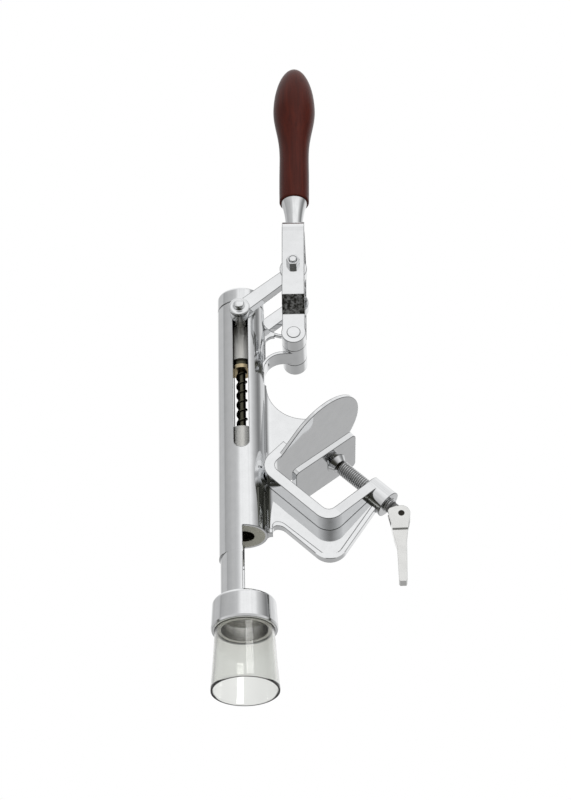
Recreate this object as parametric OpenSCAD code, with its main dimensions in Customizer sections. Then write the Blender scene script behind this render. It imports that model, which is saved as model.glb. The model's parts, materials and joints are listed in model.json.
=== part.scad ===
// Counter mount corkscrew, in millimetres, barrel upright.
// The origin lies on the barrel's axis, at the lower rim of the bottle collar.
// +Z runs up the barrel, +X points from the barrel to the clamp, and -Y is the front.

/* [Barrel] */
// Outer radius of the barrel
barrel_r = 16; // [15:0.5:18]
// Radius of the bore that guides the slider
bore_r = 8; // [7.5:0.1:9]
// Height of the barrel's lower end face
barrel_low = 69; // [64:1:74]
// Height of the casting's top, where the cap sits
barrel_high = 246.2; // [245.8:0.1:252]
// Radius of the bore's lip at the lower end
lip_r = 7.2; // [6:0.1:7.4]
// Height of the bore's lip at the lower end
lip_h = 2.5; // [2:0.5:2.5]
// Radius of the hollow that takes the cork
cork_r = 12.5; // [11:0.5:13.5]
// Outer radius of the half shell's lower part, which goes into the collar
shell_r = 15.2; // [14:0.1:15.9]
// Height of the step between the half shell's lower and upper part
shell_step = 51.5; // [35:0.5:60]
// Width of the front and rear slots
slot_w = 10.2; // [9.8:0.1:11]
// Height of the slots' lower end
slot_low = 128.6; // [127:0.1:130]
// Height of the slots' upper end
slot_high = 240; // [239.6:0.1:243]
// Height of the cap above the casting
cap_h = 12.4; // [8:0.1:14]

/* [Bottle collar] */
// Outer radius of the collar
collar_r = 21.7; // [21.2:0.1:24]
// Height of the collar, where the half shell starts
collar_h = 21.2; // [20:0.1:23]
// Radius of the bore in the bell that takes the bottle's lip
lip_bore_r = 15.2; // [14.8:0.1:15.4]
// Wall of the centring bell
bell_t = 0.8; // [0.6:0.1:1.2]
// Outer radius of the bell's rim
bell_rim_r = 17.75; // [16.5:0.05:17.75]
// Outer radius of the clear guard where it enters the collar
guard_r = 19.4; // [19.4:0.1:19.8]
// Outer radius of the clear guard at its lower rim
guard_rim_r = 22.2; // [20:0.1:25]
// Length of the clear guard below the collar
guard_len = 42.3; // [30:0.5:60]
// Wall of the clear guard
guard_t = 1.6; // [1.2:0.1:1.6]

/* [Lever and linkage] */
// Distance from the barrel's axis to the fulcrum
pivot_x = 36.6; // [36:0.1:38]
// Height of the fulcrum
pivot_z = 215.8; // [214:0.1:217]
// Height of the slider's cross pin at rest
slide_pin_z = 234; // [233:0.1:234.2]
// Distance from the fulcrum to the links' upper pivot
crank_r = 50.1; // [49.5:0.1:50.5]
// Lean of the lever away from the barrel, in degrees
lever_lean = 1.2; // [0:0.1:2]
// Swing of the lever over the barrel, in degrees
lever_swing = 130; // [120:1:130]
// Width of the lever's cheeks
cheek_w = 15.5; // [14:0.1:17]
// Half width of the arm's knuckle between the cheeks
knuckle_y = 8.7; // [8:0.1:9]
// Outside of the lower cheeks, from the middle plane
low_cheek_y = 20; // [19:0.1:21]
// Inside of the upper cheeks, from the middle plane
high_cheek_y = 25; // [24.9:0.1:27]
// Thickness of the upper cheeks
cheek_t = 6; // [4:0.5:7]
// Height of the yoke above the fulcrum
yoke_h = 92.2; // [85:0.5:100]
// Radius of the fulcrum pin
pin_r = 4.4; // [3.5:0.1:4.8]
// Inside face of the links, from the middle plane
link_y = 17.3; // [17.2:0.1:18]
// Thickness of the links
link_t = 6.6; // [5.5:0.1:6.6]
// Width of the links' bars
link_w = 9.4; // [8:0.1:10]
// Radius of the links' lower eyes, under the link screws
eye_r = 6.5; // [5.8:0.1:6.8]
// Radius of the links' upper eyes, inside the lever's cheeks
high_eye_r = 9.4; // [7:0.1:9.6]
// Radius of the link bolts and link screws
bolt_r = 2.5; // [2.2:0.1:2.8]

/* [Handle] */
// Length of the lever from the fulcrum to the wood's lower end
wood_low = 125.2; // [120:1:140]
// Length of the wood
wood_len = 123.8; // [110:0.1:140]
// Radius of the wood at its widest
wood_r = 15.3; // [13:0.1:17]
// Radius of the wood's neck
wood_neck_r = 10.6; // [9.8:0.1:12]
// Radius of the ferrule's flare
flare_r = 9.3; // [8.5:0.1:9.6]
// Radius of the steel tang in the wood
tang_r = 4; // [3:0.5:5]

/* [Slider and worm] */
// Height of the slider's lower face at rest
slider_low = 204.1; // [203:0.1:205]
// Height of the slider's top at rest
slider_high = 244; // [241:0.5:244]
// Lead of the worm's thread
lead = 7.5; // [7:0.1:8]
// Turns that the worm makes as it is driven through its nut
turns = 6; // [5:0.5:6]
// Outer radius of the worm
worm_r = 3.8; // [3.4:0.1:4]
// Radius of the worm's core
core_r = 2.7; // [2.3:0.1:2.9]
// Height of the worm's tip at rest
worm_tip = 75.5; // [74:0.5:90]
// Height where the solid core ends and the open helix starts, at rest
helix_top = 128; // [122:1:134]
// Thickness of the brass thrust disc
disc_t = 2.9; // [2:0.1:3]
// Height of the drive nut's top at rest
nut_high = 150; // [149:0.5:151]
// Height of the nut carriage
nut_h = 24; // [20:0.5:24]

/* [Clamp] */
// Angle between the clamp's mouth and the barrel, in degrees
clamp_angle = 45; // [45:1:45]
// Inside face of the frame's back wall
back_v = 93.3; // [92:0.1:94]
// Height of the lower arm's inside face
arm_w = 13.3; // [12:0.1:15]
// Height of the jaw's underside at its root
jaw_w = 65.5; // [63:0.5:68]
// Slope of the jaw, in degrees
jaw_slope = 2.9; // [2:0.1:4]
// Thickness of the jaw plate
jaw_t = 2.5; // [2:0.1:5]
// Radius of the jaw plate's round end
jaw_r = 34.4; // [28:0.2:36]
// Distance of the round end's centre from the mouth's corner line
jaw_v = 138.6; // [130:0.1:140]
// Half width of the frame's inner flange
flange_y = 17.5; // [15:0.5:18]
// Thickness of the frame's inner flange
flange_t = 7; // [6:0.1:8]
// Thickness of the web between barrel and clamp
web_t = 4.4; // [3.5:0.1:5]
// Thickness of the bead round the web
bead_t = 5.6; // [5:0.1:7]
// Distance of the clamp screw's axis
screw_v = 130.8; // [129:0.1:133]
// Radius of the clamp screw
screw_r = 5; // [4:0.5:5]
// Radius of the boss that holds the clamp screw
boss_r = 9.3; // [8:0.1:10]
// Length of the boss below the lower arm's inside face
boss_len = 17.6; // [15:0.1:18]
// Length of the pad
pad_len = 51; // [46:1:52]
// Width of the pad
pad_w = 34.5; // [30:0.5:35]
// Thickness of the pad
pad_t = 4.3; // [3:0.1:5]
// Length of the thumb lever, from its pin to its end
thumb_len = 49.7; // [40:0.1:54]
// Radius of the thumb lever's pin
thumb_pin_r = 2; // [1.5:0.1:2.5]

/* [Fits] */
// Running clearance on the radius of a shaft or bush
run = 0.05; // [0.02:0.01:0.1]
// Gap between faces that slide on each other
face_gap = 0.15; // [0.1:0.01:0.3]

/* [Hidden] */
$fn = 72;
root2 = sqrt(2);

// Fulcrum side of the linkage: the pivot P of the links lies on the lever's own axis.
top_pin_x = pivot_x + crank_r * sin(lever_lean);
top_pin_z = pivot_z + crank_r * cos(lever_lean);
link_len = sqrt(top_pin_x * top_pin_x + pow(top_pin_z - slide_pin_z, 2));
link_rise = atan2(top_pin_z - slide_pin_z, top_pin_x);
end_angle = 90 - lever_lean + lever_swing;
end_pin_x = pivot_x + crank_r * cos(end_angle);
end_pin_z = pivot_z + crank_r * sin(end_angle);
travel = slide_pin_z - (end_pin_z - sqrt(link_len * link_len - end_pin_x * end_pin_x));
nut_travel = travel - turns * lead;

link_out = link_y + link_t;
flange_r = 7.1;
eye_gap = 0.4;
high_cheek_out = high_cheek_y + cheek_t;
link_nut_h = 4.6;
knuckle_r = cheek_w / 2 + 0.6;
hub_r = slot_w / 2 - 0.3;
bush_r = pin_r + 1.6;
slider_r = bore_r - run;
lower_inner = knuckle_y + face_gap;
bell_len = 9.5;
step_low = 15;
step_high = 24;
step_in_low = 12.5;
disc_high = slider_low - 4;
disc_low = disc_high - disc_t;
web_fillet = 5;
arc_x = 44;
arc_z = 184;
arc_r = 27.2;
strip_x = 28.2;
strip_z = pivot_z - 21;
strip_r = 12.7;
strip_t = 2;
strip_y = 6.4;
rib_x = 31;
rib_z = pivot_z + 28;
rib_r = 17.1;
rib_t = 1.6;
rib_y = 1.4;
window_x = 16.7;
jaw_root_v = 101;
jaw_root_y = 15.5;
boss_low = arm_w - boss_len;
thumb_w = boss_low - 12.4;
thumb_v = screw_v - 0.8;
pad_bottom = 44;
pad_mid = 122.1;
pad_angles = [-2.7, 6.8, 3.9];
ball_w = 41.5;
ball_r = 3.5;
neck_r = 2;
cup_r = 5;
cup_flare = 7.4;
cup_low = 38.9;
screw_top = 37.9;

// ---------------------------------------------------------------- small helpers

// Points of an arc about [cx, cy], from angle a to angle b.
function arc(cx, cy, r, a, b, n = 16) =
    [for (i = [0 : n]) [cx + r * cos(a + (b - a) * i / n), cy + r * sin(a + (b - a) * i / n)]];

// Point [v, w] of the clamp's own plane, given in the barrel's [x, z] plane.
function clamp_xz(v, w) = [(v - w) / root2, (v + w) / root2];

// A cylinder along Y, from y0 to y1, about [x, z].
module rod_y(x, z, r, y0, y1) {
    translate([x, y1, z])
        rotate([90, 0, 0])
            cylinder(r = r, h = y1 - y0);
}

// The same cylinder in front of the middle plane and behind it.
module rods_y(x, z, r, y0, y1) {
    rod_y(x, z, r, y0, y1);
    rod_y(x, z, r, -y1, -y0);
}

// An outline in the [x, z] plane, extruded along Y from y0 to y1.
module slab_y(y0, y1) {
    translate([0, y1, 0])
        rotate([90, 0, 0])
            linear_extrude(height = y1 - y0)
                children();
}

// A rectangle with round corners.
module round_rect(x0, y0, x1, y1, r) {
    translate([x0 + r, y0])
        square([x1 - x0 - 2 * r, y1 - y0]);
    translate([x0, y0 + r])
        square([x1 - x0, y1 - y0 - 2 * r]);
    for (x = [x0 + r, x1 - r])
        for (y = [y0 + r, y1 - r])
            translate([x, y])
                circle(r = r);
}

// The clamp's own frame: x runs out of the mouth, z up to the jaw.
module in_clamp() {
    rotate([0, -clamp_angle, 0])
        children();
}

// The lever's own frame: the origin is the fulcrum, z runs up the lever.
module in_lever() {
    translate([pivot_x, 0, pivot_z])
        rotate([0, lever_lean, 0])
            children();
}

// ---------------------------------------------------------------- body casting

// Barrel, and below it the upper half shell that leaves the cork window open towards +X.
module barrel_form() {
    translate([0, 0, barrel_low])
        cylinder(r = barrel_r, h = barrel_high - barrel_low);
    intersection() {
        translate([0, 0, shell_step])
            cylinder(r = barrel_r, h = barrel_low - shell_step + 1);
        translate([-barrel_r - 1, -barrel_r - 1, shell_step])
            cube([barrel_r + 1, 2 * barrel_r + 2, barrel_low - shell_step + 1]);
    }
}

// Bore, cork hollow and the two slots.
module barrel_cuts() {
    translate([0, 0, barrel_low - 1])
        cylinder(r = lip_r, h = lip_h + 2);
    translate([0, 0, barrel_low + lip_h])
        cylinder(r = bore_r, h = barrel_high - barrel_low);
    translate([0, 0, shell_step - 1])
        cylinder(r = cork_r, h = barrel_low - shell_step + 1);
    slab_y(-barrel_r - 1, barrel_r + 1) {
        translate([-slot_w / 2, slot_low + slot_w / 2])
            square([slot_w, slot_high - slot_low - slot_w]);
        for (z = [slot_low, slot_high - slot_w])
            translate([0, z + slot_w / 2])
                circle(d = slot_w);
    }
}

// Part of a ring in the [x, z] plane, between two angles.
module ring_part(cx, cz, r0, r1, a, b) {
    polygon(concat(arc(cx, cz, r1, a, b, 24), arc(cx, cz, r0, b, a, 24)));
}

// Arm to the fulcrum: a broad lower strip, a thin upper rib, and the knuckle.
module arm_form() {
    slab_y(-strip_y, strip_y) {
        ring_part(strip_x, strip_z, strip_r, strip_r + strip_t, 90, 188);
        translate([strip_x - 0.1, strip_z + strip_r])
            square([pivot_x - strip_x, strip_t]);
    }
    slab_y(-rib_y, rib_y)
        ring_part(rib_x, rib_z, rib_r, rib_r + rib_t, 176, 282);
    slab_y(-rib_y, rib_y)
        difference() {
            translate([bore_r + 3, strip_z + 8])
                square([12, 28]);
            translate([rib_x, rib_z])
                circle(r = rib_r + 1);
            round_rect(window_x, strip_z + 7, 50, rib_z - rib_r - rib_t + 0.4, 5.5);
        }
    rod_y(pivot_x, pivot_z, knuckle_r, -knuckle_y, knuckle_y);
}

// Web between barrel and clamp, with its edge drawn in by d at the lower outside.
module web_outline(d) {
    corner_r = 12.3 - d;
    polygon(concat(
        [[bore_r + 3, arc_z + 6], [arc_x - arc_r, arc_z]],
        arc(arc_x, arc_z, arc_r, 180, 286, 28),
        [clamp_xz(150, jaw_w - 1.3), clamp_xz(110, jaw_w + 0.8), clamp_xz(back_v - 3, jaw_w + 3),
            clamp_xz(back_v - 3, arm_w - 3), clamp_xz(124, arm_w - 3),
            clamp_xz(124, d - 0.9)],
        [for (p = arc(83.1, 3.5, corner_r, 281.5, 180)) clamp_xz(p[0], p[1])],
        arc(22, 66.8 + d, 8, 45, 88, 8),
        arc(22.2, 71.8 + d, 3, 90, 180, 8),
        [[19.2, barrel_low + d + 0.6], [bore_r + 3, barrel_low + d]]
    ));
}

// Round blend between the barrel and the web.
module web_blend() {
    c = web_t / 2 + web_fillet;
    x = sqrt(pow(barrel_r + web_fillet, 2) - c * c);
    intersection() {
        translate([0, 0, barrel_low])
            linear_extrude(height = arc_z - barrel_low)
                difference() {
                    polygon([[0, 0], [x, -c], [x, c]]);
                    for (y = [-c, c])
                        translate([x, y])
                            circle(r = web_fillet);
                }
        slab_y(-c, c)
            web_outline(0);
    }
}

// Inner flange of the frame: jaw root, back wall and lower arm in one C.
module flange_outline() {
    difference() {
        round_rect(back_v - flange_t, arm_w - flange_t, screw_v + 40, jaw_w + flange_t, 12);
        round_rect(back_v, arm_w, screw_v + 60, jaw_w, 5.5);
        translate([screw_v, -50])
            square([100, 200]);
        translate([112, 40])
            square([100, 100]);
    }
}

// The lower arm narrows towards the boss of the clamp screw.
module lower_arm_plan() {
    translate([0, 0, arm_w - flange_t - 1])
        linear_extrude(height = 40)
            polygon([[back_v - flange_t - 1, -flange_y], [98, -flange_y], [screw_v, -boss_r],
                [screw_v, boss_r], [98, flange_y], [back_v - flange_t - 1, flange_y]]);
}

// Wide round jaw plate: a circle joined to the frame's root by its tangents.
module jaw_plate() {
    far = jaw_v - jaw_root_v;
    reach = sqrt(far * far + jaw_root_y * jaw_root_y);
    touch = 180 - atan2(jaw_root_y, far) - acos(jaw_r / reach);
    tx = jaw_r * cos(touch);
    ty = jaw_r * sin(touch);
    translate([jaw_root_v, 0, jaw_w])
        rotate([0, jaw_slope, 0])
            linear_extrude(height = jaw_t) {
                translate([far, 0])
                    circle(r = jaw_r);
                polygon([[-4, -jaw_root_y], [0, -jaw_root_y], [far + tx, -ty], [far + tx, ty],
                    [0, jaw_root_y], [-4, jaw_root_y]]);
            }
}

// The clamp's C-frame: flange, narrowing lower arm, jaw plate and boss, without the bore.
module frame_solid() {
    in_clamp() {
        difference() {
            slab_y(-flange_y, flange_y)
                flange_outline();
            translate([90, -50, -50])
                cube([100, 100, 50 + arm_w + 20]);
        }
        intersection() {
            slab_y(-flange_y, flange_y)
                flange_outline();
            lower_arm_plan();
        }
        jaw_plate();
        translate([screw_v, 0, boss_low])
            cylinder(r = boss_r, h = boss_len);
    }
}

// Web with a bead round its edge, blended into the barrel.
module web_form() {
    slab_y(-web_t / 2, web_t / 2)
        web_outline(0);
    slab_y(-bead_t / 2, bead_t / 2)
        difference() {
            web_outline(0);
            web_outline(3.2);
        }
    web_blend();
}

module body_casting() {
    color("silver")
        difference() {
            union() {
                barrel_form();
                arm_form();
                web_form();
            }
            barrel_cuts();
            rod_y(pivot_x, pivot_z, bush_r, -20, 20);
            frame_solid();
        }
}

module clamp_frame() {
    color("silver")
        difference() {
            frame_solid();
            in_clamp()
                translate([screw_v, 0, boss_low - 1])
                    cylinder(r = screw_r + run, h = boss_len + 2);
        }
}

// ---------------------------------------------------------------- barrel's fitted pieces

// Lower half shell between the collar and the barrel's step, open towards +X.
module cork_shell() {
    height = shell_step - collar_h;
    color("silver")
        difference() {
            translate([0, 0, collar_h])
                cylinder(r = shell_r, h = height);
            translate([0, 0, collar_h - 1])
                cylinder(r = cork_r, h = height + 2);
            translate([0, -barrel_r - 1, collar_h - 1])
                cube([barrel_r + 1, 2 * barrel_r + 2, height + 2]);
        }
}

module top_cap() {
    edge = 2.5;
    color("silver")
        translate([0, 0, barrel_high])
            rotate_extrude()
                polygon(concat([[0, cap_h]], arc(barrel_r - edge, cap_h - edge, edge, 90, 0, 8),
                    [[barrel_r, 0], [bore_r - run, 0], [bore_r - run, -1.5], [0, -1.5]]));
}

module bottle_collar() {
    seat = collar_h - 3.5;
    shoulder = 3.5;
    color("silver")
        rotate_extrude()
            polygon(concat(
                [[guard_r, 0], [collar_r - 0.6, 0], [collar_r, 1.6]],
                arc(collar_r - 0.9 - shoulder, collar_h - shoulder, shoulder, 0, 90, 12),
                [[cork_r, collar_h], [cork_r, seat], [lip_bore_r + bell_t, seat],
                    [lip_bore_r + bell_t, 9], [guard_r, 9]]
            ));
}

module centring_bell() {
    seat = collar_h - 3.5;
    out = lip_bore_r + bell_t;
    color("lightgray")
        rotate_extrude()
            polygon([[lip_bore_r, 0], [bell_rim_r, 0], [bell_rim_r, 1.2], [out, 1.2], [out, seat],
                [cork_r, seat], [cork_r, seat - 1.2], [cork_r + 0.8, seat - 2],
                [cork_r + 1.4, seat - 4.5], [lip_bore_r, bell_len]]);
}

module clear_guard() {
    steps = 10;
    function flare(t) = guard_r + (guard_rim_r - guard_r) * pow(t, 1.3);
    color("lightcyan", 0.5)
        rotate_extrude()
            polygon(concat(
                [[guard_r - guard_t, 9], [guard_r, 9]],
                [for (i = [0 : steps]) [flare(i / steps), -guard_len * i / steps]],
                [for (i = [steps : -1 : 0]) [flare(i / steps) - guard_t, -guard_len * i / steps]]
            ));
}

module fulcrum_bush() {
    color("darkgoldenrod")
        difference() {
            rod_y(pivot_x, pivot_z, bush_r, -knuckle_y, knuckle_y);
            rod_y(pivot_x, pivot_z, pin_r + run, -knuckle_y - 1, knuckle_y + 1);
        }
}

// ---------------------------------------------------------------- slider and worm

module slider_block() {
    color("gainsboro")
        difference() {
            translate([0, 0, slider_low])
                cylinder(r = slider_r, h = slider_high - slider_low);
            translate([0, 0, slider_low - 1])
                cylinder(r = 5.6, h = 8);
            rods_y(0, slide_pin_z, hub_r, 4, bore_r + 1);
        }
}

module slot_hubs() {
    color("gray")
        rods_y(0, slide_pin_z, hub_r, 4, link_y - face_gap);
}

module retaining_nut() {
    color("dimgray")
        difference() {
            translate([0, 0, disc_high + face_gap])
                cylinder(r = 6.4, h = slider_low - disc_high - face_gap);
            translate([0, 0, disc_high - 1])
                cylinder(r = core_r + run, h = 6);
        }
}

module thrust_disc() {
    color("goldenrod")
        difference() {
            translate([0, 0, disc_low])
                cylinder(r = bore_r - 0.5, h = disc_t);
            translate([0, 0, disc_low - 1])
                cylinder(r = core_r, h = disc_t + 2);
        }
}

// A rod of radius r wound about the Z axis at radius m.
module helix(m, r, low, high, sides) {
    height = high - low;
    translate([0, 0, low])
        rotate([0, 0, -360 * (disc_low - low) / lead])
            linear_extrude(height = height, twist = -360 * height / lead,
                slices = round(12 * height / lead), $fn = sides)
                translate([m, 0])
                    scale([1, 1.9])
                        circle(r = r, $fn = sides);
}

module cork_worm() {
    wire = 1.25;
    point = 4;
    color("darkslategray") {
        translate([0, 0, helix_top])
            cylinder(r = core_r, h = slider_low + 0.5 - helix_top);
        translate([0, 0, slider_low + face_gap])
            cylinder(r = 5.5, h = 4.5);
        helix(worm_r - 1.1, 1.1, helix_top + 1, disc_low, 6);
        helix(worm_r - wire, wire, worm_tip + point, helix_top + 2, 6);
        translate([0, 0, worm_tip + point])
            rotate([0, 0, -360 * (disc_low - worm_tip - point) / lead])
                mirror([0, 0, 1])
                    linear_extrude(height = point, twist = 360 * point / lead, scale = 0.25,
                        slices = 8, $fn = 6)
                        translate([worm_r - wire, 0])
                            scale([1, 1.9])
                                circle(r = wire, $fn = 6);
    }
}

module nut_carriage() {
    color("gainsboro")
        difference() {
            translate([0, 0, nut_high - nut_h])
                cylinder(r = slider_r, h = nut_h);
            translate([0, 0, nut_high - nut_h - 1])
                cylinder(r = worm_r + 0.6, h = nut_h);
            translate([0, 0, nut_high - nut_h + 4])
                cylinder(r = 6, h = nut_h);
        }
}

module drive_nut() {
    color("dimgray")
        difference() {
            translate([0, 0, nut_high - nut_h + 4])
                cylinder(r = 6, h = nut_h - 4);
            translate([0, 0, nut_high - nut_h])
                cylinder(r = worm_r + run, h = nut_h + 1);
        }
}

// ---------------------------------------------------------------- links

module link_bar() {
    half = link_w / 2;
    translate([0, slide_pin_z])
        rotate(link_rise) {
            polygon([[0, -half], [0, half + 0.9], [link_len, half - 0.7], [link_len, -half]]);
            circle(r = eye_r);
        }
}

// side is -1 for the front link and 1 for the rear link.
module link(side) {
    recess = 2.75;
    low = side < 0 ? -link_out : link_y;
    eye_low = side < 0 ? -link_out - eye_gap : link_y - eye_gap;
    difference() {
        union() {
            slab_y(low, low + link_t)
                link_bar();
            rod_y(top_pin_x, top_pin_z, high_eye_r, eye_low, eye_low + link_t + 2 * eye_gap);
        }
        rods_y(0, slide_pin_z, bolt_r, link_y - 1, link_out + 1);
        rods_y(top_pin_x, top_pin_z, bolt_r + run, link_y - 1, link_out + 1);
        rods_y(top_pin_x, top_pin_z, bolt_r + 1.6, link_y - 1, link_y + recess);
    }
}

module front_link() {
    color("silver")
        link(-1);
}

module rear_link() {
    color("silver")
        link(1);
}

// A turned piece on one of the Y axes, given as a profile [radius, distance from middle].
module turned_y(x, z, side) {
    translate([x, 0, z])
        rotate([-90 * side, 0, 0])
            rotate_extrude()
                children();
}

module link_washers() {
    color("gray")
        for (side = [-1, 1])
            turned_y(0, slide_pin_z, side)
                polygon([[bolt_r, link_out], [5, link_out], [flange_r, link_out + 1.9],
                    [bolt_r, link_out + 1.9]]);
}

module link_screws() {
    flange = link_out + 1.9;
    color("silver")
        for (side = [-1, 1])
            turned_y(0, slide_pin_z, side)
                polygon(concat(
                    [[0, link_y], [bolt_r, link_y], [bolt_r, flange], [flange_r, flange],
                        [flange_r, flange + 1.2], [flange_r - 0.4, flange + 1.6],
                        [3.7, flange + 1.6], [3.7, flange + 2.4]],
                    arc(0, flange + 2.4, 3.7, 20, 90, 6) ));
}

// ---------------------------------------------------------------- lever

// Half of the fork's section across the cheeks: [y, height above the fulcrum].
module cheek_section() {
    outer = 14;
    inner = 9;
    top = yoke_h;
    polygon(concat(
        [[lower_inner, -knuckle_r - 1], [low_cheek_y, -knuckle_r - 1], [low_cheek_y, step_low],
            [high_cheek_out, step_high]],
        arc(high_cheek_out - outer, top - outer, outer, 0, 90, 12),
        [[0, top], [0, top - cheek_t]],
        arc(high_cheek_y - inner, top - cheek_t - inner, inner, 90, 0, 10),
        [[high_cheek_y, step_high], [lower_inner, step_in_low]]
    ));
}

module fork_section() {
    for (side = [0, 1])
        mirror([side, 0])
            cheek_section();
}

module lever_fork() {
    half = cheek_w / 2;
    color("silver")
        in_lever()
            difference() {
                union() {
                    intersection() {
                        translate([-half - 1, 0, 0])
                            rotate([90, 0, 90])
                                linear_extrude(height = cheek_w + 2)
                                    fork_section();
                        slab_y(-high_cheek_out - 1, high_cheek_out + 1) {
                            circle(r = knuckle_r);
                            translate([-half, 0])
                                square([cheek_w, yoke_h + 1]);
                        }
                    }
                    translate([0, 0, yoke_h - cheek_t - 3])
                        cylinder(r = 7, h = cheek_t + 3);
                }
                rods_y(0, 0, pin_r, 1, low_cheek_y + 1);
                rods_y(0, crank_r, bolt_r, high_cheek_y - 1, high_cheek_out + 1);
                translate([0, 0, yoke_h - cheek_t - 4])
                    cylinder(r = tang_r, h = cheek_t + 5);
            }
}

module fulcrum_pin() {
    color("gainsboro")
        in_lever()
            rod_y(0, 0, pin_r, -low_cheek_y - 0.3, low_cheek_y + 0.3);
}

module link_bolts() {
    tip = high_cheek_out + link_nut_h + 0.7;
    color("silver")
        for (side = [-1, 1])
            turned_y(top_pin_x, top_pin_z, side)
                polygon([[0, link_y + face_gap], [bolt_r + 1.5, link_y + face_gap],
                    [bolt_r + 1.5, link_y + 2.7], [bolt_r, link_y + 2.7],
                    [bolt_r, tip - 0.4], [bolt_r - 0.4, tip], [0, tip]]);
}

module link_nuts() {
    color("gray")
        for (side = [-1, 1])
            translate([top_pin_x, 0, top_pin_z])
                rotate([-90 * side, 0, 0])
                    difference() {
                        translate([0, 0, high_cheek_out])
                            cylinder(r = 4.62, h = link_nut_h, $fn = 6);
                        translate([0, 0, high_cheek_out - 1])
                            cylinder(r = bolt_r, h = 12);
                    }
}

module handle_ferrule() {
    base = yoke_h;
    color("silver")
        in_lever()
            rotate_extrude()
                polygon(concat(
                    [[tang_r, base], [6, base]],
                    [for (i = [0 : 10]) [6 + (flare_r - 6) * pow(i / 10, 2.2),
                        base + 8 + (wood_low - base - 8) * i / 10]],
                    [[tang_r, wood_low]]
                ));
}

module handle_tang() {
    color("gray")
        in_lever()
            translate([0, 0, yoke_h - cheek_t - 3])
                cylinder(r = tang_r, h = wood_low + wood_len * 0.8 - yoke_h + cheek_t + 3);
}

// Radius of the wood at the share t of its length, from the rim to the top.
function wood_at(t) =
    t < 0.3 ? wood_neck_r + 0.15 * sin(180 * t / 0.3)
    : t < 0.68 ? wood_neck_r
        + (wood_r - wood_neck_r) * (1 - cos(180 * pow((t - 0.3) / 0.38, 1.35))) / 2
    : wood_r * sqrt(max(0, 1 - pow((t - 0.68) / 0.32, 1.9)));

module wood_handle() {
    n = 44;
    color("saddlebrown")
        in_lever()
            rotate_extrude()
                polygon(concat(
                    [[tang_r, wood_low], [wood_neck_r - 0.6, wood_low]],
                    [for (i = [0 : n - 1]) let (t = 0.006 + 0.994 * sin(90 * i / n))
                        [wood_at(t), wood_low + wood_len * t]],
                    [[0, wood_low + wood_len], [0, wood_low + wood_len * 0.8],
                        [tang_r, wood_low + wood_len * 0.8]]
                ));
}

// ---------------------------------------------------------------- clamp's moving pieces

module clamp_screw() {
    tongue = 4;
    color("silver")
        in_clamp()
            difference() {
                union() {
                    translate([screw_v, 0, thumb_w + 9.6])
                        cylinder(r = screw_r, h = screw_top - thumb_w - 10.6);
                    translate([screw_v, 0, screw_top - 1])
                        cylinder(r1 = screw_r, r2 = screw_r - 1.2, h = 1);
                    rod_y(thumb_v, thumb_w, 4.4, -tongue / 2, tongue / 2);
                    translate([thumb_v - 3.2, -tongue / 2, thumb_w])
                        cube([7.6, tongue, 10]);
                }
                rod_y(thumb_v, thumb_w, thumb_pin_r, -tongue, tongue);
                translate([screw_v, 0, screw_top - 6])
                    cylinder(r = neck_r + run, h = 10);
            }
}

module swivel_ball() {
    color("dimgray")
        in_clamp()
            translate([screw_v, 0, 0]) {
                translate([0, 0, ball_w])
                    sphere(r = ball_r);
                translate([0, 0, screw_top - 6 + face_gap])
                    cylinder(r = neck_r, h = ball_w - screw_top + 6 - face_gap);
            }
}

// The pad and its cup lean together on the ball.
module in_pad() {
    in_clamp()
        translate([screw_v, 0, ball_w])
            rotate(pad_angles)
                children();
}

module swivel_cup() {
    base = pad_bottom - ball_w - 1.2;
    color("dimgray")
        in_pad()
            difference() {
                translate([0, 0, cup_low - ball_w])
                    cylinder(r1 = cup_r, r2 = cup_flare, h = base + ball_w - cup_low);
                sphere(r = ball_r + run);
                translate([0, 0, -ball_r - 1.5])
                    cylinder(r = 2.9, h = 3.4);
            }
}

module clamp_pad() {
    base = pad_bottom - ball_w - 1.2;
    mid = pad_mid - screw_v;
    color("silver")
        in_pad()
            difference() {
                translate([mid, 0, base])
                    linear_extrude(height = pad_t)
                        round_rect(-pad_len / 2, -pad_w / 2, pad_len / 2, pad_w / 2, 3.5);
                sphere(r = ball_r + run);
            }
}

// Outline of the thumb lever round its pin, in the [x, z] plane.
module thumb_outline() {
    end = -thumb_len;
    circle(r = 5.8);
    polygon([[-8.8, 2.2], [-7.6, 4], [-2.9, 5.6], [3.4, 3.9], [5.6, 1.4], [5.7, -1.6], [4.3, -8.4],
        [2.8, -18.8], [1.7, end + 1], [1, end], [-3, end], [-3.7, end + 1], [-3.8, -23.8],
        [-5.6, -16.3], [-7.2, -5.5]]);
}

// The tongue of the clamp screw goes into the slot between the lever's two ears.
module thumb_lever() {
    gap = 4 + 2 * face_gap;
    color("gainsboro")
        translate([(thumb_v - thumb_w) / root2, 0, (thumb_v + thumb_w) / root2])
            difference() {
                union() {
                    intersection() {
                        slab_y(-4.7, 4.7)
                            thumb_outline();
                        translate([-20, -10, -11])
                            cube([40, 20, 30]);
                    }
                    slab_y(-3.3, 3.3)
                        thumb_outline();
                }
                rod_y(0, 0, thumb_pin_r + run, -10, 10);
                rod_y(0, 0, 9.6, -gap / 2, gap / 2);
            }
}

module thumb_lever_pin() {
    color("dimgray")
        translate([(thumb_v - thumb_w) / root2, 0, (thumb_v + thumb_w) / root2])
            rod_y(0, 0, thumb_pin_r, -4.4, 4.4);
}

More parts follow.
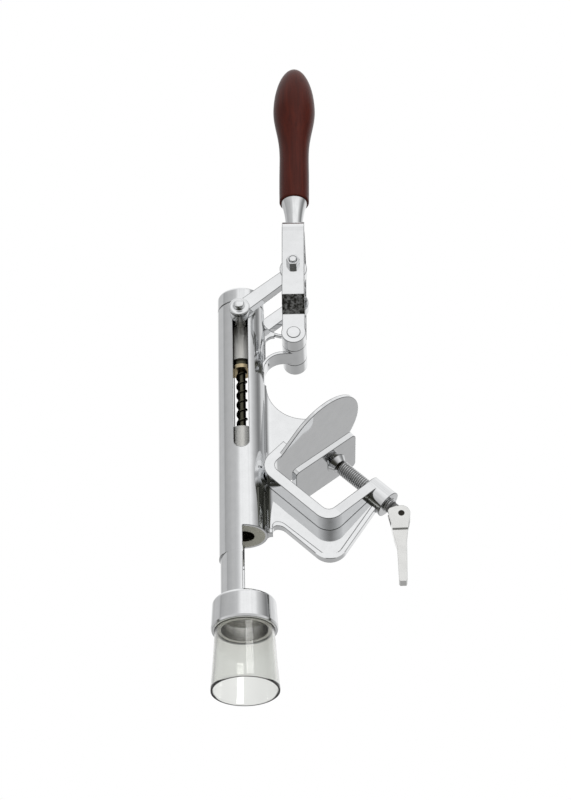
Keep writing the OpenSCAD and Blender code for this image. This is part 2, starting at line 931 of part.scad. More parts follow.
body_casting();
clamp_frame();
cork_shell();
top_cap();
bottle_collar();
centring_bell();
clear_guard();
fulcrum_bush();
slider_block();
slot_hubs();
retaining_nut();
thrust_disc();
cork_worm();
nut_carriage();
drive_nut();
front_link();
rear_link();
link_screws();
link_washers();
lever_fork();
fulcrum_pin();
link_bolts();
link_nuts();
handle_ferrule();
handle_tang();
wood_handle();
clamp_screw();
swivel_ball();
swivel_cup();
clamp_pad();
thumb_lever();
thumb_lever_pin();
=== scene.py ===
import json
import math

import bmesh
import bpy
from mathutils import Matrix, Vector


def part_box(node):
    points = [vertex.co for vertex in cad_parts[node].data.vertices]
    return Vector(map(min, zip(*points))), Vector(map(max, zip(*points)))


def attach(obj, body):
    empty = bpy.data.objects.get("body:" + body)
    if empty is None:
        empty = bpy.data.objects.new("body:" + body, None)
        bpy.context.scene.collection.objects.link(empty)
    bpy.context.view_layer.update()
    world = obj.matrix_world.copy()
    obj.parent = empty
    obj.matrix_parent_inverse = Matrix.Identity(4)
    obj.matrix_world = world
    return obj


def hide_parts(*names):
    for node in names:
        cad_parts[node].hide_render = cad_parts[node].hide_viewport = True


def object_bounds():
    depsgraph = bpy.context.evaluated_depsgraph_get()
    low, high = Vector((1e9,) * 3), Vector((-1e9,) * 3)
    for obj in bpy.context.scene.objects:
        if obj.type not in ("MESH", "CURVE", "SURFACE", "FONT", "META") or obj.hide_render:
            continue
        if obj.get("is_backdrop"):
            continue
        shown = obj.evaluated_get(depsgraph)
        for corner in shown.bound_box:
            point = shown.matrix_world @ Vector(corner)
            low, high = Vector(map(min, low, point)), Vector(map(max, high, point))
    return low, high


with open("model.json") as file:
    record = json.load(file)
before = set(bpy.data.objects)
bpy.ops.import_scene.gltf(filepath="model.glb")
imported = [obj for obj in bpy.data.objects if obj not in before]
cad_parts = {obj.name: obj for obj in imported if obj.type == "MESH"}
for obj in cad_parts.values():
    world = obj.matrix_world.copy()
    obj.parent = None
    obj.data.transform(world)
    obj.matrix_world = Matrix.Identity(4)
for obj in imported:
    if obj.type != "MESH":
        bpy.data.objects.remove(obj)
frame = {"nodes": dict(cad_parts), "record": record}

CAD_BOX = [list(c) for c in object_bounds()]
MM = 0.001
NODES = frame["nodes"]

# ------------------------------------------------------------------ camera, from below the part

TARGET = Vector((0.029588, 0.0, 0.173998))
BELOW = math.radians(32.697)
TURN = math.radians(1.184)
ROLL = math.radians(-1.375)
AWAY = 1.578174
FOCAL_PX = 2326.378
FRAME_H = 800.0
SENSOR_MM = 36.0

back = Vector((math.sin(TURN) * math.cos(BELOW), -math.cos(TURN) * math.cos(BELOW),
               -math.sin(BELOW)))
right = (-back).cross(Vector((0, 0, 1))).normalized()
up = right.cross(-back).normalized()
cam_x = math.cos(ROLL) * right + math.sin(ROLL) * up
cam_y = -math.sin(ROLL) * right + math.cos(ROLL) * up
cam_data = bpy.data.cameras.new("camera")
cam_data.sensor_width = SENSOR_MM
cam_data.lens = FOCAL_PX * SENSOR_MM / FRAME_H
cam_data.clip_start = 0.05
cam_data.clip_end = 60.0
cam = bpy.data.objects.new("camera", cam_data)
bpy.context.collection.objects.link(cam)
cam.matrix_world = Matrix((
    (cam_x.x, cam_y.x, back.x, TARGET.x + back.x * AWAY),
    (cam_x.y, cam_y.y, back.y, TARGET.y + back.y * AWAY),
    (cam_x.z, cam_y.z, back.z, TARGET.z + back.z * AWAY),
    (0, 0, 0, 1)))
bpy.context.scene.camera = cam
bpy.context.scene.view_settings.view_transform = "Standard"

# ------------------------------------------------------------------ node helpers


class Tree:
    """A short way to write node materials."""

    def __init__(self, owner):
        owner.use_nodes = True
        self.t = owner.node_tree
        self.t.nodes.clear()

    def add(self, kind, **values):
        node = self.t.nodes.new("ShaderNode" + kind)
        for key, value in values.items():
            if hasattr(node, key) and not key[0].isupper():
                setattr(node, key, value)
            else:
                self.put(node, key.replace("_", " "), value)
        return node

    def put(self, node, key, value):
        numbered = key[0] == "I" and key[1:].isdigit()
        sock = node.inputs[int(key[1:])] if numbered else node.inputs[key]
        if hasattr(value, "links") or isinstance(value, bpy.types.NodeSocket):
            self.t.links.new(value, sock)
        elif isinstance(value, bpy.types.Node):
            self.t.links.new(value.outputs[0], sock)
        else:
            sock.default_value = value

    def math(self, op, a, b=0.0, c=None):
        node = self.t.nodes.new("ShaderNodeMath")
        node.operation = op
        for i, v in enumerate([a, b] + ([c] if c is not None else [])):
            if isinstance(v, (int, float)):
                node.inputs[i].default_value = v
            else:
                self.put(node, "I%d" % i, v)
        return node.outputs[0]

    def finish(self, shader):
        self.t.links.new(shader.outputs[0], self.add("OutputMaterial").inputs[0])

    def ramp(self, fac, stops):
        node = self.t.nodes.new("ShaderNodeValToRGB")
        els = node.color_ramp.elements
        while len(els) > 1:
            els.remove(els[0])
        for i, (pos, col) in enumerate(stops):
            e = els[0] if i == 0 else els.new(pos)
            e.position = pos
            e.color = (col, col, col, 1.0) if isinstance(col, (int, float)) else tuple(col) + (1.0,)
        self.t.links.new(fac, node.inputs[0])
        return node.outputs[0]


def srgb(*v):
    out = []
    for c in v:
        c = c / 255.0
        out.append(c / 12.92 if c <= 0.04045 else ((c + 0.055) / 1.055) ** 2.4)
    return tuple(out)


def grey(v):
    return srgb(v)[0]


# ------------------------------------------------------------------ world, floor, light

# Grey levels are what polished metal shows when it reflects that place, at Strength 1.25.
world = bpy.data.worlds.new("studio")
bpy.context.scene.world = world
w = Tree(world)
direction = w.add("TexCoord").outputs["Generated"]
sep = w.add("SeparateXYZ", Vector=direction)
front = w.math("MULTIPLY", sep.outputs[1], -1.0)
turn = w.math("ARCTAN2", sep.outputs[0], front)
share = w.math("MULTIPLY_ADD", turn, 0.5 / math.pi, 0.5)


def at(deg):
    return 0.5 + deg / 360.0


def blend(tree, fac, first, second):
    mix = tree.add("Mix", data_type="RGBA")
    tree.t.links.new(fac, mix.inputs[0])
    for sock, value in ((mix.inputs[6], first), (mix.inputs[7], second)):
        if isinstance(value, bpy.types.NodeSocket):
            tree.t.links.new(value, sock)
        else:
            sock.default_value = tuple(value) + (1,)
    return mix.outputs[2]


# By azimuth from the front, positive on the clamp's side.
band = w.ramp(share, [
    (at(deg), grey(level)) for deg, level in (
        (-180, 238), (-160, 228), (-140, 182), (-108, 190), (-98, 186), (-92, 154), (-84, 166),
        (-40, 184), (-25, 196), (-8, 236), (40, 240), (46, 228), (57, 196), (72, 154), (87, 116),
        (100, 142), (112, 205), (135, 228), (180, 238))])
height = w.math("MULTIPLY_ADD", sep.outputs[2], 0.5, 0.5)
high = w.ramp(height, [(0.0, grey(190)), (0.5, grey(205)), (0.86, grey(222)), (1.0, grey(244))])
upper = blend(w, w.ramp(height, [(0.80, 0.0), (0.92, 1.0)]), band, high)

# Below the horizon: dark and mottled steeply down in front, paler at the horizon and towards the back.
blots = w.add("TexNoise", Vector=direction, Scale=3.2, Detail=3.0, Roughness=0.6)
dark = w.ramp(blots.outputs[0], [
    (0.36, srgb(26, 26, 22)), (0.52, srgb(66, 66, 60)), (0.66, srgb(118, 118, 110))])
below = w.math("ADD", w.math("ABSOLUTE", sep.outputs[2]), 0.25)
fall = w.math("MULTIPLY", w.math("ARCTAN2", below, front), 1.0 / math.pi)
pale = w.ramp(fall, [
    (0.62, srgb(90, 90, 84)), (0.70, grey(150)), (0.80, grey(170)), (0.90, grey(174)), (1.0, grey(188))])
lower = blend(w, w.ramp(fall, [(0.58, 0.0), (0.68, 1.0)]), dark, pale)
edge = blend(w, w.ramp(height, [(0.17, 0.0), (0.27, 1.0)]), lower,
             w.ramp(height, [(0.22, grey(120)), (0.34, grey(178)), (0.5, grey(212))]))
lower = blend(w, w.ramp(fall, [(0.30, 1.0), (0.55, 0.0)]), lower, edge)
patch = w.add("TexNoise", Vector=direction, Scale=5.0, Detail=2.0, Roughness=0.5)
upper = blend(w, w.ramp(patch.outputs[0], [(0.40, 0.0), (0.62, 0.16)]), upper, srgb(140, 142, 144))
mix = blend(w, w.ramp(height, [(0.485, 0.0), (0.62, 1.0)]), lower, upper)
studio = w.add("Background", Color=mix, Strength=1.25)
plain = w.add("Background", Color=(1, 1, 1, 1), Strength=1.0)
pick = w.add("MixShader")
w.t.links.new(w.add("LightPath").outputs["Is Camera Ray"], pick.inputs[0])
w.t.links.new(studio.outputs[0], pick.inputs[1])
w.t.links.new(plain.outputs[0], pick.inputs[2])
w.t.links.new(pick.outputs[0], w.add("OutputWorld").inputs[0])

bpy.ops.mesh.primitive_plane_add(size=50.0, location=(0, 0, -1.7))
floor = bpy.context.object
floor.name = "floor"
fm = bpy.data.materials.new("pale_floor")
f = Tree(fm)
f_bsdf = f.add("BsdfPrincipled", Base_Color=srgb(238, 238, 236) + (1,), Roughness=0.8)
f.finish(f_bsdf)
floor.data.materials.append(fm)
floor.visible_glossy = False
floor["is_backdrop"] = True

key_data = bpy.data.lights.new("soft_key", "AREA")
key_data.shape = "RECTANGLE"
key_data.size, key_data.size_y = 1.2, 1.6
key_data.energy = 40.0
key = bpy.data.objects.new("soft_key", key_data)
bpy.context.collection.objects.link(key)
key.location = (0.9, -2.4, 0.9)
key.rotation_mode = "QUATERNION"
key.rotation_quaternion = (Vector((0.03, 0, 0.2)) - key.location).to_track_quat("-Z", "Y")
key.visible_glossy = False

# ------------------------------------------------------------------ materials


def metal(name, base, rough, round_mm=0.0, wave=0.0, grain=0.0, scale=900.0, spread=0.03, masks=(),
          edge_shade_mm=0.0, calm=None):
    """Polished or satin metal: rounded edges, a slight waviness of the polish, fine grain and wear, and
    dark lines painted along the edges as shade.

    Each mask is (function of the tree and position, colour, roughness) for a place with another finish, or
    for a place painted dark as shade.
    """
    m = bpy.data.materials.new(name)
    t = Tree(m)
    pos = t.add("TexCoord").outputs["Object"]
    fine = t.add("TexNoise", Vector=pos, Scale=scale, Detail=4.0, Roughness=0.6)
    broad = t.add("TexNoise", Vector=pos, Scale=48.0, Detail=2.0)
    wear = t.add("TexNoise", Vector=pos, Scale=170.0, Detail=5.0, Roughness=0.65)
    tint = t.ramp(wear.outputs[0], [(0.35, tuple(c * 0.95 for c in base)), (0.65, base)])
    if edge_shade_mm:
        # Dark lines painted along the edges as shade, standing in for the dark reflections that rounded
        # edges show.
        wide = t.add("Bevel", samples=8, Radius=edge_shade_mm * MM)
        along = t.add("VectorMath", operation="DOT_PRODUCT")
        t.t.links.new(wide.outputs[0], along.inputs[0])
        t.t.links.new(t.add("NewGeometry").outputs["True Normal"], along.inputs[1])
        edge_shade_line = t.ramp(along.outputs["Value"], [(0.84, 0.85), (0.985, 0.0)])
        if calm:
            edge_shade_line = t.math("MULTIPLY", edge_shade_line, t.math("SUBTRACT", 1.0, calm(t, pos)))
        tint = blend(t, edge_shade_line, tint, tuple(c * 0.12 for c in base))
    rough_now = t.math("MULTIPLY_ADD", fine.outputs[0], spread, rough - spread / 2)
    metal_now = None
    for where, colour, rough_there in masks:
        place = where(t, pos)
        tint = blend(t, place, tint, colour)
        rough_now = t.math("ADD", rough_now, t.math("MULTIPLY", place, rough_there - rough))
        part = t.math("SUBTRACT", 1.0, t.math("MULTIPLY", place, 0.75))
        metal_now = part if metal_now is None else t.math("MULTIPLY", metal_now, part)
    bsdf = t.add("BsdfPrincipled", Base_Color=tint, Metallic=1.0)
    t.put(bsdf, "Roughness", rough_now)
    if metal_now is not None:
        t.put(bsdf, "Metallic", metal_now)
    normal = None
    if round_mm:
        normal = t.add("Bevel", samples=6, Radius=round_mm * MM).outputs[0]
        if calm:
            settle = t.add("Mix", data_type="VECTOR")
            t.t.links.new(calm(t, pos), settle.inputs[0])
            t.t.links.new(normal, settle.inputs[4])
            t.t.links.new(t.add("NewGeometry").outputs["Normal"], settle.inputs[5])
            normal = settle.outputs[1]
    for tex, amount in ((broad, wave), (fine, grain)):
        if amount:
            bump = t.add("Bump", Strength=amount, Distance=0.001, Height=tex.outputs[0])
            if normal is not None:
                t.put(bump, "Normal", normal)
            normal = bump.outputs[0]
    if normal is not None:
        t.put(bsdf, "Normal", normal)
    t.finish(bsdf)
    return m


def radius_of(t, pos):
    """The position's parts and its distance from the barrel's axis."""
    parts = t.add("SeparateXYZ", Vector=pos)
    squares = [t.math("POWER", t.math("ABSOLUTE", parts.outputs[i]), 2.0) for i in (0, 1)]
    return parts, t.math("SQRT", t.math("ADD", *squares))


def end_face(t, pos):
    """The barrel's lower end, which is left as cast inside its polished rim."""
    parts, r = radius_of(t, pos)
    near = t.math("LESS_THAN", t.math("ABSOLUTE", t.math("SUBTRACT", parts.outputs[2], 0.069)), 0.0004)
    return t.math("MULTIPLY", near, t.math("LESS_THAN", r, 0.0143))


def shell_seam(t, pos):
    """Where the barrel runs on into the lower half shell without a break."""
    parts, r = radius_of(t, pos)
    near = t.math("LESS_THAN", t.math("ABSOLUTE", t.math("SUBTRACT", parts.outputs[2], 0.0515)), 0.002)
    side = t.math("GREATER_THAN", parts.outputs[0], -0.0128)
    return t.math("MULTIPLY", t.math("MULTIPLY", near, side), t.math("GREATER_THAN", r, 0.0156))


def neck_step(t, pos):
    """Where the thumb lever's ears run out into its shank."""
    height_now = t.add("SeparateXYZ", Vector=pos).outputs[2]
    return t.math("LESS_THAN", t.math("ABSOLUTE", t.math("SUBTRACT", height_now, 0.0691)), 0.0025)


def bore_wall_shade(t, pos):
    """The barrel's bore, painted dark as shade inside the tube."""
    parts, r = radius_of(t, pos)
    high_enough = t.math("GREATER_THAN", parts.outputs[2], 0.0694)
    low_enough = t.math("LESS_THAN", parts.outputs[2], 0.2466)
    return t.math("MULTIPLY", t.math("LESS_THAN", r, 0.00835), t.math("MULTIPLY", high_enough, low_enough))


CHROME = srgb(231, 232, 233)
MATS = {
    "chrome_casting": metal("polished_chrome_casting", CHROME, 0.055, 0.8, 0.22, 0.0, edge_shade_mm=1.4),
    "chrome_turned": metal("polished_chrome_turned", CHROME, 0.045, 0.35, 0.0, 0.0, edge_shade_mm=0.8),
    "satin_steel": metal("satin_steel", srgb(205, 204, 200), 0.26, 0.3, 0.0, 0.02),
    "dark_steel": metal("oiled_dark_steel", srgb(84, 82, 70), 0.3, 0.0, 0.0, 0.04, 1500.0, 0.1),
    "brass": metal("satin_brass", srgb(205, 188, 152), 0.3, 0.2, 0.0, 0.03),
    "bronze": metal("bearing_bronze", srgb(168, 132, 90), 0.35, 0.2, 0.0, 0.04),
}
# The bore's dark colour is painted shade inside the tube; the end face is left as cast.
BARREL = metal("polished_chrome_barrel", CHROME, 0.055, 0.8, 0.12, 0.0, masks=(
    (end_face, srgb(176, 175, 163), 0.55), (bore_wall_shade, srgb(40, 39, 30), 0.5)),
    edge_shade_mm=1.2, calm=shell_seam)


def rough_step_shade(t, pos):
    """The sloped steps of the fork, left rough under the upper cheeks, with dark blotches painted on these
    down-facing faces as shade and reflection.
    """
    parts = t.add("SeparateXYZ", Vector=pos)
    out = t.math("GREATER_THAN", t.math("ABSOLUTE", parts.outputs[1]), 0.0195)
    level = t.math("MULTIPLY", t.math("GREATER_THAN", parts.outputs[2], 0.2295),
                   t.math("LESS_THAN", parts.outputs[2], 0.2412))
    facing = t.add("SeparateXYZ", Vector=t.add("TexCoord").outputs["Normal"])
    slope = t.math("LESS_THAN", facing.outputs[2], -0.4)
    shade_blots = t.add("TexNoise", Vector=pos, Scale=330.0, Detail=4.0, Roughness=0.7)
    cover = t.ramp(shade_blots.outputs[0], [(0.44, 1.0), (0.62, 0.72)])
    return t.math("MULTIPLY", cover, t.math("MULTIPLY", slope, t.math("MULTIPLY", out, level)))


def thread_groove_shade(t, pos):
    """The grooves of the clamp screw, by distance from its axis, painted dark as shade in the grooves."""
    parts = t.add("SeparateXYZ", Vector=pos)
    along = t.math("MULTIPLY", t.math("ADD", parts.outputs[0], parts.outputs[2]), 0.70711)
    out = t.math("SUBTRACT", along, 0.1308)
    side = parts.outputs[1]
    r = t.math("SQRT", t.math("ADD", t.math("MULTIPLY", out, out), t.math("MULTIPLY", side, side)))
    return t.ramp(t.math("MULTIPLY", r, 100.0), [(0.42, 0.9), (0.49, 0.0)])


ROUGH_CAST = metal("tumbled_casting", srgb(222, 222, 220), 0.14, 0.0, 0.5, 0.06, 420.0, 0.1, edge_shade_mm=0.45,
                   calm=neck_step)
# The thread's grooves are painted dark as shade.
THREAD = metal("polished_chrome_thread", CHROME, 0.08, masks=((thread_groove_shade, srgb(60, 60, 58), 0.3),))
# The fork's sloped steps get dark blotches painted as shade and reflection.
FORK = metal("polished_chrome_fork", CHROME, 0.055, 0.8, 0.22, 0.0,
             masks=((rough_step_shade, srgb(22, 22, 14), 0.5),), edge_shade_mm=1.4)
MATT = metal("matt_steel", srgb(214, 213, 209), 0.42, 0.3, 0.0, 0.03, 700.0, 0.1, edge_shade_mm=0.5)
PIN = metal("blackened_pin", srgb(50, 48, 44), 0.35, 0.2)


def clear_plastic():
    """Clear plastic, painted slightly darker at its top by the collar as shade from reflections inside the
    guard.
    """
    m = bpy.data.materials.new("clear_plastic")
    t = Tree(m)
    pos = t.add("TexCoord").outputs["Object"]
    haze = t.add("TexNoise", Vector=pos, Scale=240.0, Detail=3.0)
    # Painted shade: the plastic's colour is darker towards the collar end.
    depth = t.math("MULTIPLY", t.add("SeparateXYZ", Vector=pos).outputs[2], -20.0)
    inner_shade = t.ramp(depth,
                   [(0.0, srgb(222, 222, 218)), (0.3, srgb(233, 234, 231)), (0.9, srgb(231, 232, 229))])
    bsdf = t.add("BsdfPrincipled", Base_Color=inner_shade, IOR=1.47)
    t.put(bsdf, "Roughness", t.math("MULTIPLY_ADD", haze.outputs[0], 0.02, 0.01))
    bsdf.inputs["Transmission Weight"].default_value = 1.0
    t.finish(bsdf)
    return m


def dark_wood():
    """Dark wood with a fine grain along the handle, under a thin lacquer."""
    m = bpy.data.materials.new("dark_lacquered_wood")
    t = Tree(m)
    mapping = t.add("Mapping", Vector=t.add("TexCoord").outputs["Object"])
    mapping.inputs["Scale"].default_value = (1.0, 1.0, 0.07)
    streak = t.add("TexNoise", Vector=mapping.outputs[0], Scale=420.0, Detail=6.0, Roughness=0.6)
    pore = t.add("TexNoise", Vector=mapping.outputs[0], Scale=1600.0, Detail=2.0)
    colour = t.ramp(streak.outputs[0], [
        (0.3, srgb(52, 14, 6)), (0.5, srgb(61, 18, 9)), (0.7, srgb(70, 23, 12))])
    bsdf = t.add("BsdfPrincipled", Base_Color=colour)
    t.put(bsdf, "Roughness", t.math("MULTIPLY_ADD", streak.outputs[0], 0.1, 0.3))
    bsdf.inputs["Specular IOR Level"].default_value = 0.14
    bsdf.inputs["Coat Weight"].default_value = 0.08
    bsdf.inputs["Coat Roughness"].default_value = 0.25
    t.put(bsdf, "Normal", t.add("Bump", Strength=0.06, Distance=0.0003, Height=pore.outputs[0]).outputs[0])
    t.finish(bsdf)
    return m


MATS["clear_plastic"] = clear_plastic()
MATS["dark_wood"] = dark_wood()
# Nodes with a finish of their own, whatever their slot.
OWN = {"body_casting": BARREL, "thumb_lever": ROUGH_CAST, "thumb_lever_pin": PIN, "lever_fork": FORK,
       "slider_block": MATT, "nut_carriage": MATT}

for part in frame["record"]["subparts"]:
    ob = NODES[part["node"]]
    ob.data.materials.clear()
    ob.data.materials.append(OWN.get(part["node"]) or MATS[part["material_slot"]])

# ------------------------------------------------------------------ detailed pieces, in millimetres


def ring_mesh(rings, ends=(True, True)):
    """Vertices and faces of a tube through rings of equal count, closed by one face at each end."""
    n = len(rings[0])
    verts = [p for ring in rings for p in ring]
    faces = []
    for i in range(len(rings) - 1):
        for j in range(n):
            k = (j + 1) % n
            faces.append((i * n + j, i * n + k, (i + 1) * n + k, (i + 1) * n + j))
    if ends[0]:
        faces.append(tuple(reversed(range(n))))
    if ends[1]:
        faces.append(tuple(range((len(rings) - 1) * n, len(rings) * n)))
    return verts, faces


def piece(name, parts, body, slot, replaced, sharp=32.0, material=None):
    """One object from (verts, faces) parts, in millimetres."""
    verts, faces = [], []
    for part_verts, part_faces in parts:
        start = len(verts)
        verts += [tuple(c * MM for c in p) for p in part_verts]
        faces += [tuple(i + start for i in face) for face in part_faces]
    mesh = bpy.data.meshes.new(name)
    mesh.from_pydata(verts, [], faces)
    bm = bmesh.new()
    bm.from_mesh(mesh)
    bmesh.ops.recalc_face_normals(bm, faces=bm.faces)
    bm.to_mesh(mesh)
    bm.free()
    mesh.polygons.foreach_set("use_smooth", [True] * len(mesh.polygons))
    mesh.set_sharp_from_angle(angle=math.radians(sharp))
    ob = bpy.data.objects.new(name, mesh)
    bpy.context.collection.objects.link(ob)
    mesh.materials.append(material or MATS[slot])
    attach(ob, body)
    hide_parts(replaced)


def in_clamp(v, y, height):
    """A point of the clamp's own frame: v across its screw, height along it."""
    return ((v - height) / math.sqrt(2), y, (v + height) / math.sqrt(2))


PIVOT_X, PIVOT_Z, LEAN, CRANK = 36.6, 215.8, math.radians(1.2), 50.1


def in_lever(x, y, z):
    """A point of the lever's own frame, which leans a little about the fulcrum."""
    return (PIVOT_X + x * math.cos(LEAN) + z * math.sin(LEAN), y,
            PIVOT_Z - x * math.sin(LEAN) + z * math.cos(LEAN))


TOP_PIN = in_lever(0, 0, CRANK)
SLIDE_PIN = (0.0, 0.0, 234.0)


def lathe(profile, place, n=96, ends=(True, True)):
    """Rings of (radius, height) points, set in space by place(x, y, z)."""
    rings = []
    for r, h in profile:
        rings.append([place(r * math.cos(2 * math.pi * j / n), r * math.sin(2 * math.pi * j / n), h)
                      for j in range(n)])
    return ring_mesh(rings, ends)


def flat(x, y, z):
    return (x, y, z)


def along_y(pin, side):
    """Places a turned piece on a Y axis, with its height measured away from the middle plane."""
    return lambda x, y, z: (pin[0] + x, side * z, pin[2] - side * y)


# Clamp screw: a right-hand M10 thread above a flat tongue, which narrows at its two faces.
SCREW_V, THUMB_V, THUMB_W, SCREW_TOP = 130.8, 130.0, -16.7, 37.9
SCREW_R, THREAD_DEPTH, PITCH, TONGUE_R = 5.0, 0.86, 1.5, 4.4


def screw_ring(height, n=56):
    out = []
    for j in range(n):
        a = 2 * math.pi * j / n
        t = (height / PITCH - j / n) % 1.0
        cut = min(1.0, max(0.0, (abs(2 * t - 1) - 0.14) / 0.72))
        r = min(SCREW_R - THREAD_DEPTH * cut, 3.85 + (SCREW_TOP - height) * 1.1)
        out.append(in_clamp(SCREW_V + r * math.cos(a), r * math.sin(a), height))
    return out


screw_rows = [screw_ring(THUMB_W + 9.6 + 0.125 * i) for i in range(361)]
tongue = [(TONGUE_R, 9.9)]
tongue += [(TONGUE_R * math.cos(math.radians(-d)), TONGUE_R * math.sin(math.radians(-d)))
           for d in range(0, 181, 10)]
tongue += [(-3.2, 3.02), (-3.2, 9.9)]
tongue_rings = [[in_clamp(THUMB_V + v * k, y, THUMB_W + (h * k if h < 9 else h)) for v, h in tongue]
                for y, k in ((-2.0, 0.95), (-1.75, 1.0), (1.75, 1.0), (2.0, 0.95))]
piece("threaded_clamp_screw", [ring_mesh(screw_rows), ring_mesh(tongue_rings)], "screw",
      "chrome_turned", "clamp_screw", sharp=75, material=THREAD)

# Hexagon nuts, chamfered and countersunk, on the outside of the fork's cheeks.
NUT_H, NUT_FLATS, CHEEK_OUT = 4.6, 8.0, 31.0


def hex_radius(deg):
    return NUT_FLATS / 2 / math.cos(math.radians(deg % 60 - 30))


def nut(side, n=96):
    put = along_y(TOP_PIN, side)
    rings = []
    for kind in ("back", "low", "top", "face", "sink", "hole"):
        ring = []
        for j in range(n):
            deg = 360.0 * j / n
            a = math.radians(deg)
            full = hex_radius(deg)
            r, h = {
                "back": (3.9, 0.0), "low": (full, max(0.0, full - 4.05) * 0.5),
                "top": (full, NUT_H - (full - 3.8) * 0.6), "face": (3.7, NUT_H),
                "sink": (3.15, NUT_H), "hole": (2.52, NUT_H - 1.1)}[kind]
            ring.append(put(r * math.cos(a), r * math.sin(a), CHEEK_OUT + h))
        rings.append(ring)
    return ring_mesh(rings, (True, False))


piece("hexagon_link_nuts", [nut(-1), nut(1)], "lever", "chrome_turned", "link_nuts", sharp=20)

# Link screws: a wide thin flange under a button head with a rounded edge.
LINK_OUT = 23.9
flange = LINK_OUT + 1.9
head = [(0.02, 17.3), (2.5, 17.3), (2.5, flange), (6.7, flange), (7.0, flange + 0.15), (7.1, flange + 0.45),
        (7.1, flange + 0.95), (6.95, flange + 1.35), (6.6, flange + 1.55), (5.2, flange + 1.6),
        (4.1, flange + 1.62), (3.75, flange + 1.75), (3.7, flange + 2.1), (3.7, flange + 2.6),
        (3.7, flange + 3.6)]
head += [(2.5 + 1.2 * math.cos(math.radians(d)), flange + 4.4 + 1.2 * math.sin(math.radians(d)))
         for d in range(0, 81, 10)]
head += [(1.6, flange + 5.72), (0.02, flange + 5.8)]
piece("domed_link_screws", [lathe(head, along_y(SLIDE_PIN, side)) for side in (-1, 1)], "links",
      "chrome_turned", "link_screws", sharp=50)

# Top cap: a rounded edge above a narrow groove where it meets the barrel.
CAP_LOW, CAP_H, CAP_ROUND, BARREL_R = 246.2, 12.4, 2.5, 16.0
cap = [(7.9, CAP_LOW), (14.9, CAP_LOW), (14.9, CAP_LOW + 0.8), (BARREL_R - 0.15, CAP_LOW + 0.9),
       (BARREL_R, CAP_LOW + 1.1)]
cap += [(BARREL_R - CAP_ROUND * (1 - math.cos(math.radians(d))),
         CAP_LOW + CAP_H - CAP_ROUND * (1 - math.sin(math.radians(d)))) for d in range(0, 91, 6)]
cap += [(9.0, CAP_LOW + CAP_H), (0.05, CAP_LOW + CAP_H)]
piece("grooved_top_cap", [lathe(cap, flat, 128, (False, True))], "frame", "chrome_turned", "top_cap")

# Lower half shell: its step below the barrel runs out towards the front and the back.
SHELL_LOW, SHELL_HIGH, CORK_R = 21.2, 51.5, 12.5


def shell_part(n=72):
    rings = []
    for i in range(n + 1):
        deg = 90 + 180 * i / n
        a = math.radians(deg)
        side = abs(math.cos(a))
        out = BARREL_R - 0.04 - 0.76 * min(1.0, max(0.0, (side - 0.62) / 0.3))
        ring = [(CORK_R, SHELL_LOW), (out, SHELL_LOW), (out, SHELL_HIGH), (CORK_R, SHELL_HIGH)]
        rings.append([(q * math.cos(a), q * math.sin(a), z) for q, z in ring])
    return ring_mesh(rings)


piece("run_out_half_shell", [shell_part()], "frame", "chrome_casting", "cork_shell", material=BARREL)

# Worm: a solid core with a raised thread, then the open helix with its point.
LEAD, DISC_LOW, TIP = 7.5, 197.2, 75.5


def wire(centre, r, low, high, per_turn=34, sides=18, taper=None):
    rows = max(2, int((high - low) / LEAD * per_turn))
    rings = []
    for i in range(rows + 1):
        z = low + (high - low) * i / rows
        k = 1.0 if taper is None else taper + (1.0 - taper) * (i / rows) ** 0.8
        phi = 2 * math.pi * (z - DISC_LOW) / LEAD
        ring = []
        for j in range(sides):
            a = 2 * math.pi * j / sides
            x, y = (centre + r * math.cos(a)) * k, 1.9 * r * math.sin(a) * k
            ring.append((x * math.cos(phi) - y * math.sin(phi), x * math.sin(phi) + y * math.cos(phi), z))
        rings.append(ring)
    return ring_mesh(rings)


core = [(2.7, 128.0), (2.7, 204.6), (5.5, 204.4), (5.5, 208.85)]
thread = wire(2.7, 1.1, 129.0, DISC_LOW)
helix = wire(2.55, 1.25, TIP + 4, 130.0)
point = wire(2.55, 1.25, TIP, TIP + 4, 60, 18, 0.25)
piece("turned_worm", [lathe(core, flat, 64), thread, helix, point], "worm", "dark_steel", "cork_worm",
      sharp=40)

# Ferrule: a smooth flare from the yoke to the wood.
BASE, WOOD_LOW = 92.2, 125.2
flare = [(4.02, BASE), (6.0, BASE)]
flare += [(6 + 3.3 * (i / 36) ** 2.2, BASE + 8 + (WOOD_LOW - BASE - 8) * i / 36) for i in range(37)]
flare += [(4.02, WOOD_LOW)]
piece("flared_ferrule", [lathe(flare, in_lever, 96, (False, False))], "lever", "chrome_turned",
      "handle_ferrule")

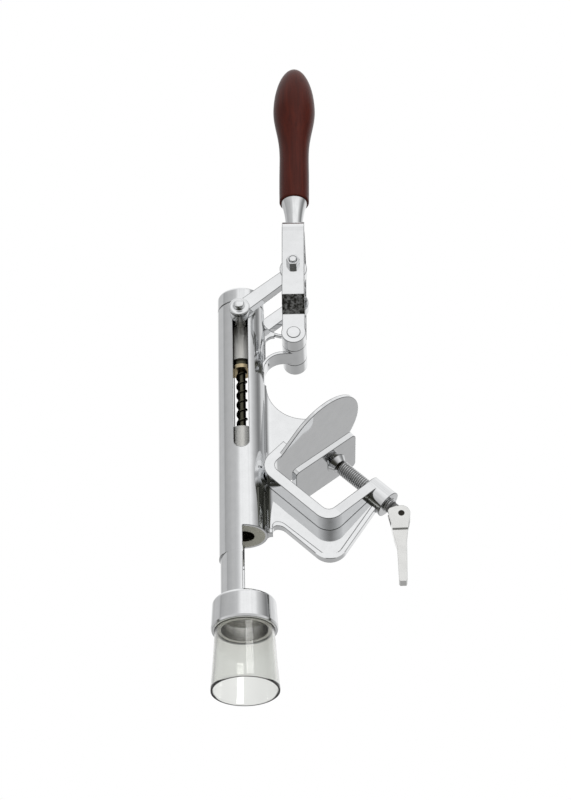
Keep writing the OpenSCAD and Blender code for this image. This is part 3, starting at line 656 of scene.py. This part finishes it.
# Wood: a long neck that swells to a round end.
WOOD_LEN, WOOD_R, NECK_R = 123.8, 15.3, 10.6


def wood_at(t):
    """Radius of the wood at a share of its length: neck, swell and round end."""
    if t < 0.3:
        return NECK_R + 0.15 * math.sin(math.pi * t / 0.3)
    if t < 0.68:
        swell = 1 - math.cos(math.pi * ((t - 0.3) / 0.38) ** 1.35)
        return NECK_R + (WOOD_R - NECK_R) * swell / 2
    return WOOD_R * math.sqrt(max(0.0, 1 - ((t - 0.68) / 0.32) ** 1.9))


shape = [(4.02, WOOD_LOW), (NECK_R - 0.7, WOOD_LOW), (NECK_R - 0.25, WOOD_LOW + 0.2)]
shape += [(wood_at(t), WOOD_LOW + WOOD_LEN * t)
          for t in [0.006 + 0.994 * math.sin(0.5 * math.pi * i / 150) for i in range(150)]]
shape += [(0.05, WOOD_LOW + WOOD_LEN)]
piece("turned_wood_handle", [lathe(shape, in_lever, 96, (False, True))], "lever", "dark_wood",
      "wood_handle", sharp=60)

# Clear guard: a thin flared tube with a rounded rim.
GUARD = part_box("clear_guard")
RIM_R = GUARD[1][0] / MM
GUARD_LOW = GUARD[0][2] / MM
GUARD_TOP, GUARD_R, GUARD_T = GUARD[1][2] / MM, 19.4, 1.6
wall_out, wall_in = [], []
for i in range(41):
    t = i / 40
    r = GUARD_R + (RIM_R - GUARD_R) * t ** 1.3
    wall_out.append((r, GUARD_LOW * t))
    wall_in.append((r - GUARD_T, GUARD_LOW * t))
wall_out[-1] = (RIM_R - 0.25, GUARD_LOW + 0.02)
wall_in[-1] = (RIM_R - GUARD_T + 0.25, GUARD_LOW + 0.02)
guard = [(GUARD_R - GUARD_T, GUARD_TOP), (GUARD_R, GUARD_TOP)] + wall_out + wall_in[::-1]
guard_mesh = lathe(guard + guard[:1], flat, 128, (False, False))
piece("flared_clear_guard", [guard_mesh], "frame", "clear_plastic", "clear_guard", sharp=50)

# ------------------------------------------------------------------ sizes, finish

{"cad": [list(c) for c in CAD_BOX], "shown": [list(c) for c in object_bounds()]}
